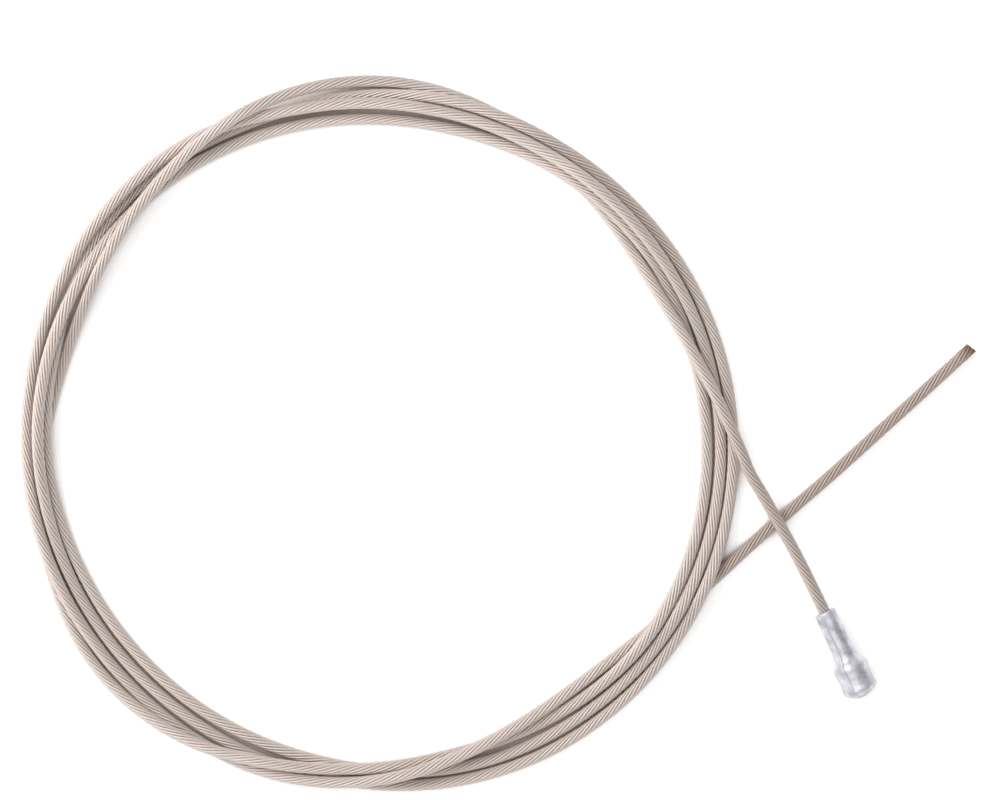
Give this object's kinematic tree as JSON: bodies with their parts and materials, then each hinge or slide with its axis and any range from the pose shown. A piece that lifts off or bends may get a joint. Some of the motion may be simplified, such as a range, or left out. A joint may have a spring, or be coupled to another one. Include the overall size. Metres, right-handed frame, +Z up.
{
  "type": "bicycle brake cable",
  "caption": "Bare stranded steel brake cable with a cast pear nipple and a plain cut end, lying in a loose coil.",
  "frame": {"origin": "on the floor, under the middle of the whole cable as it lies", "axes": "+X from the coil towards the cut end, +Y across the coil on the cut end's side, +Z up from the floor"},
  "size_m": [0.1274, 0.0954, 0.0048],
  "materials": {
    "wire": "drawn stainless wire, satin",
    "nipple": "cast zinc alloy, satin"
  },
  "bodies": {
    "root": {"nipple": "nipple", "nipple_lead": "wire", "coil_turns": "wire", "cut_end_lead": "wire"}
  },
  "joints": []
}
